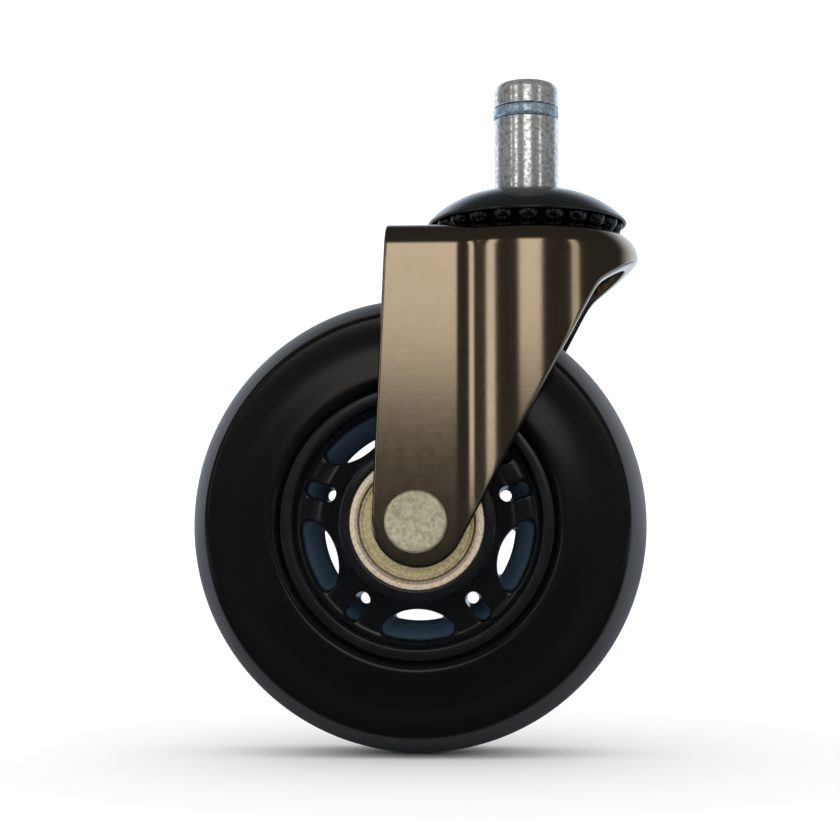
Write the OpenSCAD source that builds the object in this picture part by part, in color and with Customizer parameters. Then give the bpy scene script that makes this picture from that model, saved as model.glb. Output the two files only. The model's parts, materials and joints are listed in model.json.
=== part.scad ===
// Swivel caster for an office chair: a grip-ring stem, a double ball race swivel head, a pressed
// steel fork, and one wide skate-type wheel on two sealed ball bearings.
// Origin: on the stem's axis, in the plane of the seat where the chair leg's socket comes to rest.
// +Z is up along the stem, +X is the fork's front, and the wheel trails towards -X. Millimetres.

/* [Wheel] */
// Rolling diameter at the crown of the tread
wheel_d = 76.2; // [76:0.1:76.6]
// Width over the side walls
wheel_w = 24; // [23.6:0.1:24.2]
// Radius where the tread arc meets the plane of the side wall
tread_edge_r = 34.4; // [34:0.1:35]
// Radius of the rounding between tread and side wall
tread_edge_round = 1; // [0.6:0.1:1.4]
// Outer radius of the hub's rim, where the tyre is cast on
rim_r = 22.4; // [22:0.1:23]
// Distance from the hub's middle plane to its web face
web_h = 7; // [6:0.1:8]
// Number of large windows, and of small slots between them
windows = 5; // [3:1:5]
// Inner radius of the windows
window_in_r = 14.1; // [14:0.1:14.6]
// Outer radius of the windows
window_out_r = 19.5; // [19:0.1:19.8]
// Length of a window, across the wheel's radius
window_l = 13.2; // [12:0.1:13.6]
// Width of a slot
slot_w = 2.6; // [2:0.1:3]

/* [Fork] */
// Thickness of the fork's sheet steel
sheet = 2.5; // [2.2:0.1:2.6]
// Half of the width over the flat legs
leg_y = 16; // [15.8:0.1:16.4]
// Radius of the round head
head_r = 18.8; // [18.6:0.1:19.2]
// Outer radius of the bend between top plate and walls
shoulder = 4.5; // [4.2:0.1:4.8]
// Height of the top plate's upper face
plate_z = -7.5; // [-7.6:0.1:-7.4]
// Axle behind the swivel axis, which is the caster's trail
trail = 18.3; // [18:0.1:18.8]
// Axle below the seat
drop = 56.4; // [56:0.1:57]
// Radius of the legs' lower end
leg_end_r = 7.5; // [7:0.1:8]

/* [Swivel head] */
// Radius of the stem
stem_r = 5.5; // [5.5:0.01:5.56]
// Height of the stem above the seat
stem_h = 19; // [18:0.5:22]
// Radius of the cap over the upper race
cap_r = 17.2; // [17:0.1:17.4]
// Pitch radius of the upper balls
upper_pitch = 14.3; // [14.2:0.05:14.35]
// Number of upper balls
upper_balls_n = 22; // [18:1:22]
// Pitch radius of the lower balls
lower_pitch = 9; // [8.8:0.1:9.2]
// Number of lower balls
lower_balls_n = 17; // [14:1:17]

/* [Ball bearings] */
// Outer radius of a bearing
bearing_r = 11; // [11:0.1:11]
// Width of a bearing
bearing_w = 7; // [7:0.5:7]
// Number of balls in a bearing
bearing_balls_n = 7; // [6:1:8]

/* [Hidden] */

$fn = 96;
play = 0.05;             // gap between a ball and its groove
slip = 0.02;             // gap between parts that are pressed or pinned together
far_out = 60;            // longer than anything that it cuts

// Stem and grip ring
shank_r = 4;             // pin through the swivel head
stem_round = 1.5;        // rounding of the stem's top
ring_low = 12.6;         // groove for the grip ring, lower edge
ring_high = 14.8;        // groove for the grip ring, upper edge
groove_r = 4.6;          // bottom of that groove
ring_out_r = stem_r + 0.2;
ring_gap = 32;           // opening of the split ring, in degrees
peen_r = 6;              // riveted end under the lower race
peen_h = 1.8;

// Swivel races
upper_ball_r = 1.985;    // 5/32 inch balls
lower_ball_r = 1.5875;   // 1/8 inch balls
upper_z = plate_z - 0.3 + upper_ball_r;
under_z = plate_z - sheet;
lower_z = under_z + 0.2 - lower_ball_r;
race_top = lower_z - lower_ball_r + 0.1;
race_t = 1.5;
race_r = 12;
race_lip = 1.4;
cap_arc = 16;            // large arc of the dome
cap_flat = 5;            // where that arc starts
cap_t = 1.2;
cap_corner = 2.2;        // small arc towards the rim
cap_rim = plate_z + 1.8;
plate_hole = 4.7;

// Fork, seen from the side
end_x = -trail + 0.4;    // centre of the legs' round end
end_z = -drop + 0.1;
back_top = -23.3;        // rear edge at the top plate
lip_front = -12.2;       // lower edge of the front wall, at its very front
brow = [11.4, -17.4];    // corner where the front lip meets the sloping edge
leg_run = 40;            // length of the legs' form before it is cut to the side outline
wall_h = 60;             // height of wall before it is cut to the side outline

// Bearings and axle
half_w = wheel_w / 2;
bearing_mid = half_w - bearing_w / 2;
pitch_r = 7.5;
ball_r = 1.984;          // 5/32 inch balls
bore_r = 4;
inner_land = 6.05;       // shoulder of the inner ring
outer_land = 9.1;        // shoulder of the outer ring
shield_h = 3.1;          // shield's place, from the bearing's middle
shield_t = 0.3;
shield_in_r = 6.4;
shield_out_r = 9.4;
axle_r = bore_r - slip;
rivet_r = 5.05;
rivet_t = 1.3;

// Tyre
crown_r = (pow(half_w, 2) + pow(wheel_d / 2 - tread_edge_r, 2)) / (2 * (wheel_d / 2 - tread_edge_r));
crown_c = wheel_d / 2 - crown_r;
rim_h = half_w - 0.5;    // the hub's rim stops this far from its middle plane
key_r = 25.4;            // rib on the rim that locks the tyre
key_h = 3.5;

// Hub section
stop_r = outer_land + 0.5; // shoulder between the bearings, clear of their seals
seat_lead = 0.3;         // chamfer at the mouth of a bearing seat
house_round = 0.8;       // rounding of the bearing housing's top
dish_c = 18.2;           // centre of the hollow between housing and web
dish_r = 5.5;
web_end_r = 18.6;        // where the web turns up into the rim
rim_lip_r = 20.6;        // inner radius of the rim's lip
rim_round = 0.3;

// Openings of the hub
window_bulge = 8.4;      // radius of a window's inner edge, which bows towards the axle
waist_r = 16.2;          // the windows' outer walls slope in to this radius at the middle plane
waist_h = 0.6;           // half height of the land there
slot_in_r = 14.2;        // ends of the slots
slot_out_r = 19.8;

// Points of an arc, both ends included
function arc(cx, cy, r, a0, a1, n = 8) =
    [for (i = [0:n]) [cx + r * cos(a0 + (a1 - a0) * i / n), cy + r * sin(a0 + (a1 - a0) * i / n)]];
// The same points mirrored about the first axis, in reverse order
function mirrored(p) = [for (i = [len(p) - 1:-1:0]) [p[i][0], -p[i][1]]];
// Tangent point on a circle of radius r about c, seen from p; side is 1 or -1
function tangent(c, r, p, side) =
    let (d = norm(p - c), a = atan2(p[1] - c[1], p[0] - c[0]) + side * acos(r / d))
    [c[0] + r * cos(a), c[1] + r * sin(a)];

// Puts a shape drawn about Z at the origin onto the axle, with its top towards -Y
module on_axle() {
    translate([-trail, 0, -drop]) rotate([90, 0, 0]) children();
}

// Copies of a ball evenly round a circle
module ball_row(n, pitch, r, z = 0) {
    for (i = [0:n - 1]) rotate([0, 0, (i + 0.5) * 360 / n]) translate([pitch, 0, z]) sphere(r = r);
}

// Circular groove in which a row of balls rolls
module ball_track(pitch, r, z = 0) {
    rotate_extrude() translate([pitch, z]) circle(r = r + play);
}

module tube_section(r0, r1, h0, h1) {
    translate([r0, h0]) square([r1 - r0, h1 - h0]);
}

// ---- swivel head ----

module stem() {
    color("silver") rotate_extrude() polygon(concat(
        [[0, stem_h]],
        arc(stem_r - stem_round, stem_h - stem_round, stem_round, 90, 0, 6),
        [[stem_r, ring_high], [groove_r, ring_high], [groove_r, ring_low], [stem_r, ring_low],
        [stem_r, 0], [shank_r, 0], [shank_r, race_top - race_t], [peen_r, race_top - race_t]],
        arc(peen_r - 1, race_top - race_t - peen_h + 1, 1, 0, -90, 5),
        [[0, race_top - race_t - peen_h]]));
}

// Split spring ring, open towards the front
module grip_ring() {
    h = ring_high - ring_low - 0.3;
    z = (ring_high + ring_low) / 2;
    color("lightsteelblue") rotate([0, 0, ring_gap / 2]) rotate_extrude(angle = 360 - ring_gap)
        polygon([[groove_r + 0.1, z - h / 2], [ring_out_r - 0.35, z - h / 2], [ring_out_r, z - h / 4],
        [ring_out_r, z + h / 4], [ring_out_r - 0.35, z + h / 2], [groove_r + 0.1, z + h / 2]]);
}

// Domed cap that is also the upper race
module swivel_cap() {
    corner_r = cap_r - cap_corner;
    corner_z = -cap_arc + sqrt(pow(cap_arc - cap_corner, 2) - pow(corner_r - cap_flat, 2));
    meet = atan2(corner_z + cap_arc, corner_r - cap_flat);
    stop = asin((cap_rim - corner_z) / cap_corner);
    inner_arc = cap_arc - cap_t;
    inner_end = acos((upper_pitch - cap_flat) / inner_arc);
    color("black") rotate_extrude() difference() {
        polygon(concat([[shank_r, cap_rim], [shank_r, 0]],
            arc(cap_flat, -cap_arc, cap_arc, 90, meet, 14),
            arc(corner_r, corner_z, cap_corner, meet, stop, 8)));
        polygon(concat([[shank_r - 1, cap_rim - 1], [shank_r - 1, -cap_t]],
            arc(cap_flat, -cap_arc, inner_arc, 90, inner_end, 12),
            [[upper_pitch, cap_rim - 1]]));
        translate([upper_pitch, upper_z]) circle(r = upper_ball_r + play);
    }
}

module upper_swivel_balls() {
    color("gainsboro") ball_row(upper_balls_n, upper_pitch, upper_ball_r, upper_z);
}

module lower_swivel_balls() {
    color("gainsboro") ball_row(lower_balls_n, lower_pitch, lower_ball_r, lower_z);
}

// Pressed cup under the fork's top plate
module lower_race() {
    color("dimgray") difference() {
        rotate_extrude() polygon([[shank_r, race_top], [race_r - race_t, race_top],
            [race_r - race_t + 0.6, race_top + race_lip], [race_r, race_top + race_lip],
            [race_r, race_top - race_t + 0.6], [race_r - 0.6, race_top - race_t],
            [shank_r, race_top - race_t]]);
        ball_track(lower_pitch, lower_ball_r, lower_z);
    }
}

// ---- fork ----

// Half of a round-shouldered section, moved inwards by d: half_width out, under the plate's top
module shoulder_section(half_width, d) {
    bend_z = plate_z - shoulder;
    translate([0, bend_z - wall_h]) square([half_width - d, wall_h]);
    translate([0, bend_z - shoulder]) square([half_width - shoulder, 2 * shoulder - d]);
    translate([half_width - shoulder, bend_z]) circle(r = shoulder - d);
}

// Closed form that the fork's sheet wraps round, moved inwards by d: round head and straight legs
module fork_form(d) {
    rotate_extrude() shoulder_section(head_r, d);
    rotate([90, 0, -90]) linear_extrude(leg_run) for (m = [0, 1]) mirror([m, 0])
        shoulder_section(leg_y, d);
}

// Outline from the side: rear edge, round lower end, sloping edge, front lip
module fork_side() {
    c = [end_x, end_z];
    slope_end = tangent(c, leg_end_r, brow, -1);
    back_end = tangent(c, leg_end_r, [back_top, plate_z], 1);
    polygon([[back_top, plate_z + 1], [back_top, plate_z], back_end, c, slope_end, brow,
        [head_r, lip_front], [head_r + 1, lip_front], [head_r + 1, plate_z + 1]]);
    translate(c) circle(r = leg_end_r);
}

module fork() {
    color("#5b4d42") difference() {
        intersection() {
            difference() {
                fork_form(0);
                fork_form(sheet);
            }
            rotate([90, 0, 0]) translate([0, 0, -far_out / 2]) linear_extrude(far_out) fork_side();
        }
        translate([0, 0, under_z - 1]) cylinder(h = sheet + 2, r = plate_hole);
        ball_track(upper_pitch, upper_ball_r, upper_z);
        ball_track(lower_pitch, lower_ball_r, lower_z);
        on_axle() translate([0, 0, -far_out / 2]) cylinder(h = far_out, r = bore_r + slip);
    }
}

// ---- axle ----

module axle_rivet() {
    color("#b5b086") on_axle() rotate_extrude() polygon([[0, -leg_y - rivet_t],
        [rivet_r - 0.35, -leg_y - rivet_t], [rivet_r, -leg_y - rivet_t + 0.35], [rivet_r, -leg_y],
        [axle_r, -leg_y], [axle_r, leg_y], [rivet_r, leg_y], [rivet_r, leg_y + rivet_t - 0.35],
        [rivet_r - 0.35, leg_y + rivet_t], [0, leg_y + rivet_t]]);
}

// Washer between a leg and the inner ring; side is 1 near the viewer's -Y side, else -1
module axle_washer(side) {
    color("silver") on_axle() rotate_extrude()
        tube_section(bore_r, inner_land - 0.05, min(side * half_w, side * (leg_y - sheet)),
        max(side * half_w, side * (leg_y - sheet)));
}

module near_axle_washer() {
    axle_washer(1);
}

module far_axle_washer() {
    axle_washer(-1);
}

module bearing_spacer() {
    color("silver") on_axle() rotate_extrude()
        tube_section(bore_r, inner_land - 0.4, bearing_w - half_w, half_w - bearing_w);
}

// ---- ball bearings, drawn with their outer face up ----

module at_bearing(side) {
    on_axle() mirror([0, 0, side > 0 ? 0 : 1]) translate([0, 0, bearing_mid]) children();
}

module outer_ring(side) {
    h = bearing_w / 2;
    c = 0.3;
    color("#c9a78c") at_bearing(side) rotate_extrude() difference() {
        polygon([[outer_land, -h], [bearing_r - c, -h], [bearing_r, -h + c], [bearing_r, h - c],
            [bearing_r - c, h], [outer_land, h]]);
        translate([pitch_r, 0]) circle(r = ball_r + play);
        for (m = [0, 1]) mirror([0, m])
            tube_section(outer_land - 1, shield_out_r + slip, shield_h - slip, shield_h + shield_t + slip);
    }
}

module inner_ring(side) {
    h = bearing_w / 2;
    c = 0.3;
    color("silver") at_bearing(side) rotate_extrude() difference() {
        polygon([[bore_r, -h + c], [bore_r + c, -h], [inner_land, -h], [inner_land, h],
            [bore_r + c, h], [bore_r, h - c]]);
        translate([pitch_r, 0]) circle(r = ball_r + play);
    }
}

module bearing_balls(side) {
    color("gainsboro") at_bearing(side) ball_row(bearing_balls_n, pitch_r, ball_r);
}

// One-piece crown cage, open on its upper side
module ball_cage(side) {
    color("goldenrod") at_bearing(side) difference() {
        rotate_extrude() tube_section(pitch_r - 0.8, pitch_r + 0.8, -2.7, 0.7);
        ball_row(bearing_balls_n, pitch_r, ball_r + 2 * play);
    }
}

// Dished steel disc crimped into the outer ring; face is 1 on the bearing's outer side, else -1
module shield(side, face) {
    color("#a89a5c") at_bearing(side) mirror([0, 0, face > 0 ? 0 : 1]) rotate_extrude()
        polygon([[shield_in_r, shield_h - 0.25], [shield_in_r + 0.4, shield_h - 0.25],
        [shield_in_r + 0.7, shield_h], [shield_out_r, shield_h], [shield_out_r, shield_h + shield_t],
        [shield_in_r + 0.5, shield_h + shield_t], [shield_in_r + 0.2, shield_h - 0.25 + shield_t],
        [shield_in_r, shield_h - 0.25 + shield_t]]);
}

module near_outer_ring() {
    outer_ring(1);
}

module near_inner_ring() {
    inner_ring(1);
}

module near_bearing_balls() {
    bearing_balls(1);
}

module near_ball_cage() {
    ball_cage(1);
}

module near_outer_shield() {
    shield(1, 1);
}

module near_inner_shield() {
    shield(1, -1);
}

module far_outer_ring() {
    outer_ring(-1);
}

module far_inner_ring() {
    inner_ring(-1);
}

module far_bearing_balls() {
    bearing_balls(-1);
}

module far_ball_cage() {
    ball_cage(-1);
}

module far_outer_shield() {
    shield(-1, 1);
}

module far_inner_shield() {
    shield(-1, -1);
}

// ---- wheel ----

// Half of the hub's section, from the bearing seat over the dished web to the rim
function hub_half() = concat(
    [[stop_r, 0], [stop_r, half_w - bearing_w], [bearing_r, half_w - bearing_w],
    [bearing_r, half_w - seat_lead], [bearing_r + seat_lead, half_w]],
    arc(bearing_r + 1.7, half_w - house_round, house_round, 90, 20, 4),
    arc(dish_c, half_w + 0.6, dish_r, 200, 250, 6),
    [[web_end_r, web_h]],
    arc(web_end_r + 0.7, web_h + 1, 1, 270, 350, 4),
    [[rim_lip_r, rim_h - rim_round]],
    arc(rim_lip_r + rim_round, rim_h - rim_round, rim_round, 180, 90, 3),
    [[rim_r, rim_h], [rim_r, key_h + 1.5], [key_r, key_h], [key_r, 0]]);

// Window with its outer edge round the axle and a bowed inner edge, drawn along the first axis
module window() {
    intersection() {
        cylinder(h = wheel_w, r = window_out_r, center = true);
        translate([window_in_r + window_bulge, 0, 0]) cylinder(h = wheel_w, r = window_bulge, center = true);
        translate([0, -window_l / 2, -half_w]) cube([window_out_r + 1, window_l, wheel_w]);
    }
}

// Small radial slot with round ends
module slot() {
    r0 = slot_in_r + slot_w / 2;
    r1 = slot_out_r - slot_w / 2;
    translate([r0, -slot_w / 2, -half_w]) cube([r1 - r0, slot_w, wheel_w]);
    for (r = [r0, r1]) translate([r, 0, 0]) cylinder(h = wheel_w, r = slot_w / 2, center = true);
}

// Ring that closes the outer part of every opening down to its waist
module waist() {
    top_h = web_h - 0.2;
    rotate_extrude() polygon([[slot_out_r + 0.2, top_h], [window_out_r, top_h], [waist_r, waist_h],
        [waist_r, -waist_h], [window_out_r, -top_h], [slot_out_r + 0.2, -top_h]]);
}

module hub() {
    top = hub_half();
    color("#15171a") on_axle() {
        difference() {
            rotate_extrude() polygon(concat(top, mirrored(top)));
            for (i = [0:windows - 1]) rotate([0, 0, -90 + i * 360 / windows]) {
                window();
                rotate([0, 0, 180 / windows]) slot();
            }
        }
        waist();
    }
}

// Crowned tread, rounded edges, flat side walls, cast round the rim and its rib
module tyre() {
    edge_h = half_w - tread_edge_round;
    edge_c = crown_c + sqrt(pow(crown_r - tread_edge_round, 2) - pow(edge_h, 2));
    edge_a = atan2(edge_h, edge_c - crown_c);
    top = concat([[key_r, 0], [key_r, key_h], [rim_r, key_h + 1.5], [rim_r, rim_h + 0.1],
        [rim_r + 0.6, half_w]],
        arc(edge_c, edge_h, tread_edge_round, 90, edge_a, 5),
        arc(crown_c, 0, crown_r, edge_a, 0, 12));
    color("#141414") on_axle() rotate_extrude() polygon(concat(top, mirrored(top)));
}

stem();
grip_ring();
swivel_cap();
upper_swivel_balls();
fork();
lower_swivel_balls();
lower_race();
axle_rivet();
near_axle_washer();
far_axle_washer();
bearing_spacer();
near_outer_ring();
near_inner_ring();
near_bearing_balls();
near_ball_cage();
near_outer_shield();
near_inner_shield();
far_outer_ring();
far_inner_ring();
far_bearing_balls();
far_ball_cage();
far_outer_shield();
far_inner_shield();
hub();
tyre();
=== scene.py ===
"""Looks of an office chair caster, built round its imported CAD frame.

Every length in the constants is in millimetres, in the frame of the CAD: +Z up the stem, +X to the
fork's front, -Y the near side. Meshes are made in millimetres and scaled to metres as they are made.
"""

import json
import math

import bmesh
import bpy
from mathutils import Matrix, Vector
from mathutils.geometry import delaunay_2d_cdt


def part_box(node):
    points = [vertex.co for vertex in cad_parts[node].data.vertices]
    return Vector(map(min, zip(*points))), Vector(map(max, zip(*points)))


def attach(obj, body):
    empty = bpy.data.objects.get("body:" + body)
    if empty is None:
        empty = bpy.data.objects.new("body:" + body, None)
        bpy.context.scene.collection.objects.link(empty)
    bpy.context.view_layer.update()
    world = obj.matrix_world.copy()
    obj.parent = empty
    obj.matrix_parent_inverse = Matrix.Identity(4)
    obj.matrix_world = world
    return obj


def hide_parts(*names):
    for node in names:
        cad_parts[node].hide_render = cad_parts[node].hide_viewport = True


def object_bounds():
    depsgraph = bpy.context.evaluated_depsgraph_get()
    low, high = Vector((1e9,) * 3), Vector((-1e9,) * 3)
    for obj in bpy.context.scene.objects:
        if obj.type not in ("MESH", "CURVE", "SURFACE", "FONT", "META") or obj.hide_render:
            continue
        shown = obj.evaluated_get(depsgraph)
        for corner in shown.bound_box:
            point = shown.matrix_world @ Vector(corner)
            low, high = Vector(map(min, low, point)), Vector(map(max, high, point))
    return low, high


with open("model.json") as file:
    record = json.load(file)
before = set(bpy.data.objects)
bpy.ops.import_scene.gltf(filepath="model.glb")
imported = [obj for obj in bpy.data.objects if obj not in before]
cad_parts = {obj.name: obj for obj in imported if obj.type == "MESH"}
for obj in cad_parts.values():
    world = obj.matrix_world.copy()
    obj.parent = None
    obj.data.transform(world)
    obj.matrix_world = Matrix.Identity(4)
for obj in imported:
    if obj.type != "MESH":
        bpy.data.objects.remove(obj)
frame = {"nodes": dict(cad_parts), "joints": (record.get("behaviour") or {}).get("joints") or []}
CAD_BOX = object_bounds()
MM = 0.001

# ---------------------------------------------------------------- dimensions


def box_mm(node):
    """Lowest and highest corner of a CAD node, in millimetres."""
    lo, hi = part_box(node)
    return [c / MM for c in lo], [c / MM for c in hi]


def joint_place(name):
    """Where a joint's axis is, in millimetres."""
    joint = next(j for j in frame["joints"] if j["name"] == name)
    return [c / MM for c in joint["pos_m"]]


AXLE = joint_place("wheel_spin")
TYRE_LO, TYRE_HI = box_mm("tyre")
WHEEL_R = (TYRE_HI[2] - TYRE_LO[2]) / 2
HALF_W = (TYRE_HI[1] - TYRE_LO[1]) / 2
FLOOR_Z = TYRE_LO[2]
STEM_TOP = box_mm("stem")[1][2]
PEEN_Z = box_mm("stem")[0][2]
RIM_Z = box_mm("swivel_cap")[0][2]
RING_LO, RING_HI = box_mm("grip_ring")
RIVET_HI = box_mm("axle_rivet")[1]
RIVET_R = RIVET_HI[0] - AXLE[0]
RACE_Z = box_mm("lower_race")[0][2]

STEM_R = 5.5
SHANK_R = 4.0
GROOVE_R = 4.6
GROOVE = (12.6, 14.8)
PEEN_R = 6.0
RING_HALF_GAP = 16  # degrees

CAP_R = 17.2
CAP_FLAT_R = 5.0
CAP_BIG_ARC = 16.0
CAP_SMALL_ARC = 2.2
CAP_LIP = 0.28
CAP_SHEET = 1.2
TRACK_R = 14.3
BALL_R = 1.985
BALL_SUNK = 0.3  # how deep the upper balls sit in the fork's plate

SHEET = 2.5
LEG_Y = 16.0
HEAD_R = 18.8
SHOULDER = 4.5
NECK_R = 9.5
PLATE_Z = -7.5
BEND_Z = PLATE_Z - SHOULDER
PLATE_HOLE = 4.7
LEG_END = (AXLE[0] + 0.4, AXLE[2] + 0.1)
LEG_END_R = 7.5
BACK_TOP = -23.3
BROW = (11.4, -17.4)  # where the front lip meets the sloping edge
LIP_FRONT = -12.2
SHEET_EDGE = 0.4
RIVET_HOLE_R = 4.02

TREAD_EDGE_R = 34.4
TREAD_ROUND = 1.0
BEAD_R = 24.2  # centre of the side wall's rounding next to the hub's rim
BEAD_ROUND = 1.3
WALL_HOLLOW = 0.14
RIB = (25.4, 3.5)  # the hub's middle rib, which keys into the tyre: radius and half width
RIB_FOOT_H = 5.0
RIM_R = 22.4
BEARING_R = 11.0
BEARING_W = 7.0
SEAT_H = HALF_W - BEARING_W

# the hub's face, by radius: a dish from the bearing's housing, a cone, the level web and a fillet to the rim
FACE_R = (13.5, 20.05)
DISH_C = 18.2
DISH_R = 5.5
CONE_R = (16.32, 18.6)
CONE_H = 7.432
WEB_H = 7.0
FILLET_C = 19.3
FILLET_R = 1.0
WINDOWS = 5
WINDOW_R = (14.1, 19.5)
WINDOW_BULGE = 8.4
WINDOW_CORNER = 1.5
WAIST_R = 16.2
WAIST_CORNER = 0.45
SLOT_R = (14.2, 19.65)
SLOT_HALF_W = 1.3
WAIST_SLOT_R = (14.25, 16.3)
WAIST_SLOT_HALF_W = 1.0
HOLE_EDGE = 0.35


# ---------------------------------------------------------------- mesh helpers


def arc(cx, cy, r, a0, a1, n=8):
    """Points of an arc in degrees, both ends included."""
    turns = [math.radians(a0 + (a1 - a0) * i / n) for i in range(n + 1)]
    return [(cx + r * math.cos(t), cy + r * math.sin(t)) for t in turns]


def rounded(corners, n=4):
    """Closed outline from (x, y, radius) corners, each rounded by its radius."""
    out = []
    count = len(corners)
    for i, (x, y, r) in enumerate(corners):
        p = Vector((x, y))
        if r <= 0:
            out.append((x, y))
            continue
        before = (Vector(corners[i - 1][:2]) - p).normalized()
        after = (Vector(corners[(i + 1) % count][:2]) - p).normalized()
        half = before.angle(after) / 2
        middle = (before + after).normalized()
        centre = p + middle * (r / math.sin(half))
        start = p + before * (r / math.tan(half)) - centre
        end = p + after * (r / math.tan(half)) - centre
        out += [tuple(centre + start.lerp(end, k / n).normalized() * r) for k in range(n + 1)]
    return out


def make_object(name, verts, faces, body, replaced):
    """Mesh object from millimetre points, with outward normals and smooth shading, riding on a body."""
    mesh = bpy.data.meshes.new(name)
    mesh.from_pydata([tuple(c * MM for c in v) for v in verts], [], faces)
    bm = bmesh.new()
    bm.from_mesh(mesh)
    bmesh.ops.remove_doubles(bm, verts=bm.verts, dist=1e-7)
    bmesh.ops.recalc_face_normals(bm, faces=bm.faces)
    bm.to_mesh(mesh)
    bm.free()
    mesh.shade_smooth()
    obj = bpy.data.objects.new(name, mesh)
    bpy.context.scene.collection.objects.link(obj)
    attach(obj, body)
    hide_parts(*replaced)
    return obj


def even_normals(obj):
    """Lets the large faces set the normals, so that small roundings don't shade into them."""
    mod = obj.modifiers.new("even_normals", "WEIGHTED_NORMAL")
    mod.keep_sharp = True
    mod.weight = 80
    return obj


def lathe_mesh(outline, segments, place):
    """Closed outline of (r, h) turned through a full circle; place maps (r, turn, h) to a point."""
    verts, faces = [], []
    count = len(outline)
    for s in range(segments):
        t = 2 * math.pi * s / segments
        verts += [place(r, t, h) for r, h in outline]
    for s in range(segments):
        a, b = s * count, ((s + 1) % segments) * count
        for i in range(count):
            j = (i + 1) % count
            if outline[i][0] > 1e-6 or outline[j][0] > 1e-6:
                faces.append((a + i, a + j, b + j, b + i))
    return verts, faces


def about_stem(r, t, h):
    return (r * math.cos(t), r * math.sin(t), h)


def about_axle(r, t, h):
    """The axle's own frame: h grows towards the near side."""
    return (AXLE[0] + r * math.cos(t), AXLE[1] - h, AXLE[2] + r * math.sin(t))


def lathe(name, outline, body, replaced, place, segments=192):
    verts, faces = lathe_mesh(outline, segments, place)
    return even_normals(make_object(name, verts, faces, body, replaced))


def mirror_outline(half):
    """A half outline from the middle plane outwards, completed on the other side of that plane."""
    return half + [(r, -h) for r, h in reversed(half) if abs(h) > 1e-9]


# ---------------------------------------------------------------- materials


def material(name, base, metallic=0.0, roughness=0.4, ior=1.5):
    """Principled material with its plain values set on the shader's own sockets."""
    mat = bpy.data.materials.new(name)
    mat.use_nodes = True
    shader = mat.node_tree.nodes["Principled BSDF"]
    shader.inputs["Base Color"].default_value = (*base, 1)
    shader.inputs["Metallic"].default_value = metallic
    shader.inputs["Roughness"].default_value = roughness
    shader.inputs["IOR"].default_value = ior
    return mat


def mapped(tree, value, start, end, low=0.0, high=1.0, smooth=True):
    """low to high as the value goes from start to end."""
    node = tree.nodes.new("ShaderNodeMapRange")
    if smooth:
        node.interpolation_type = "SMOOTHSTEP"
    for key, number in (("From Min", start), ("From Max", end), ("To Min", low), ("To Max", high)):
        node.inputs[key].default_value = number
    tree.links.new(value, node.inputs["Value"])
    return node.outputs["Result"]


def maths(tree, kind, *values):
    """Math node over sockets and plain numbers."""
    node = tree.nodes.new("ShaderNodeMath")
    node.operation = kind
    for socket, value in zip(node.inputs, values):
        if isinstance(value, (int, float)):
            socket.default_value = value
        else:
            tree.links.new(value, socket)
    return node.outputs["Value"]


def product(tree, first, *others):
    """Several sockets or numbers multiplied together."""
    for other in others:
        first = maths(tree, "MULTIPLY", first, other)
    return first


def split_coordinates(tree, kind):
    """X, Y and Z sockets of a kind of texture coordinates."""
    split = tree.nodes.new("ShaderNodeSeparateXYZ")
    tree.links.new(tree.nodes.new("ShaderNodeTexCoord").outputs[kind], split.inputs["Vector"])
    return split.outputs


def add_noise(mat, scale, detail, rough=0.5):
    """Noise over the object's own coordinates, in cycles per metre."""
    nodes, links = mat.node_tree.nodes, mat.node_tree.links
    noise = nodes.new("ShaderNodeTexNoise")
    noise.inputs["Scale"].default_value = scale
    noise.inputs["Detail"].default_value = detail
    noise.inputs["Roughness"].default_value = rough
    links.new(nodes.new("ShaderNodeTexCoord").outputs["Object"], noise.inputs["Vector"])
    return noise.outputs["Fac"]


def vary_roughness(mat, fac, low, high, start=0.35, end=0.65):
    tree = mat.node_tree
    result = mapped(tree, fac, start, end, low, high, smooth=False)
    tree.links.new(result, tree.nodes["Principled BSDF"].inputs["Roughness"])


def vary_colour(mat, fac, stops):
    nodes, links = mat.node_tree.nodes, mat.node_tree.links
    ramp = nodes.new("ShaderNodeValToRGB")
    elements = ramp.color_ramp.elements
    while len(elements) < len(stops):
        elements.new(0.5)
    for element, (pos, colour) in zip(elements, stops):
        element.position = pos
        element.color = (*colour, 1)
    links.new(fac, ramp.inputs["Fac"])
    links.new(ramp.outputs["Color"], nodes["Principled BSDF"].inputs["Base Color"])


def add_bump(mat, fac, depth_mm):
    """Bump by a noise, on top of the bumps that are there."""
    nodes, links = mat.node_tree.nodes, mat.node_tree.links
    shader = nodes["Principled BSDF"]
    bump = nodes.new("ShaderNodeBump")
    bump.inputs["Strength"].default_value = 1.0
    bump.inputs["Distance"].default_value = depth_mm * MM
    links.new(fac, bump.inputs["Height"])
    if shader.inputs["Normal"].links:
        links.new(shader.inputs["Normal"].links[0].from_socket, bump.inputs["Normal"])
    links.new(bump.outputs["Normal"], shader.inputs["Normal"])


def from_axle(mat, start, end):
    """0 to 1 as the distance from the axle's line goes from start to end, in millimetres."""
    tree = mat.node_tree
    nodes, links = tree.nodes, tree.links
    coords = nodes.new("ShaderNodeTexCoord")
    shift = nodes.new("ShaderNodeVectorMath")
    shift.operation = "SUBTRACT"
    shift.inputs[1].default_value = tuple(c * MM for c in AXLE)
    flat = nodes.new("ShaderNodeVectorMath")
    flat.operation = "MULTIPLY"
    flat.inputs[1].default_value = (1, 0, 1)
    length = nodes.new("ShaderNodeVectorMath")
    length.operation = "LENGTH"
    links.new(coords.outputs["Object"], shift.inputs[0])
    links.new(shift.outputs["Vector"], flat.inputs[0])
    links.new(flat.outputs["Vector"], length.inputs[0])
    return mapped(tree, length.outputs["Value"], start * MM, end * MM)


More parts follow.
